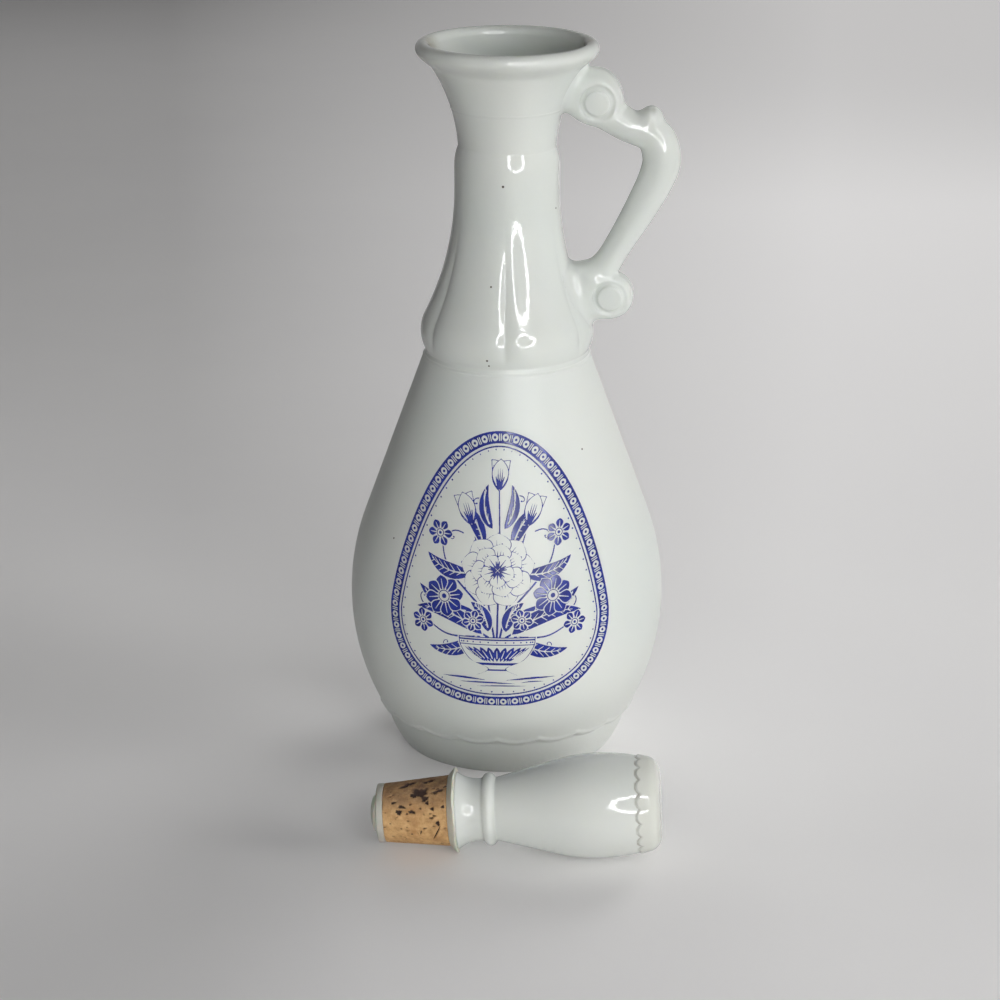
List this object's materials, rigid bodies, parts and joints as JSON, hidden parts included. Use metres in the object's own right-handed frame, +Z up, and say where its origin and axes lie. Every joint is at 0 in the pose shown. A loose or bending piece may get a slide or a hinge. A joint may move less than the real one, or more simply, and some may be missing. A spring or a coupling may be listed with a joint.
{
  "type": "liquor decanter",
  "caption": "Pear-shaped opal glass liquor decanter with a scrolled handle, a blue-and-white floral medallion and a separate cork stopper with a hollow glass head lying in front",
  "frame": {"origin": "on the vessel's axis, in the plane of the foot ring that the decanter stands on", "axes": "+Z up along the vessel's axis, -Y the printed side, +X the handle"},
  "size_m": [0.1137, 0.1708, 0.25],
  "materials": {
    "opal_glass": "fire-polished opal glass, greyish green white",
    "ivory_plastic": "moulded polyethylene, slightly yellowed",
    "adhesive": "cured adhesive",
    "cork": "natural cork with dark pores"
  },
  "bodies": {
    "decanter": {"vessel": "opal_glass", "handle": "opal_glass"},
    "stopper": {"stopper_head": "opal_glass", "stopper_core": "ivory_plastic", "glue_ring": "adhesive", "cork_sleeve": "cork", "end_washer": "ivory_plastic", "end_plug": "ivory_plastic"}
  },
  "joints": [
    {"name": "stopper_lift", "type": "slide", "parent": "decanter", "child": "stopper", "axis": [0, 0, 1], "range_m": [0, 0.26]}
  ]
}
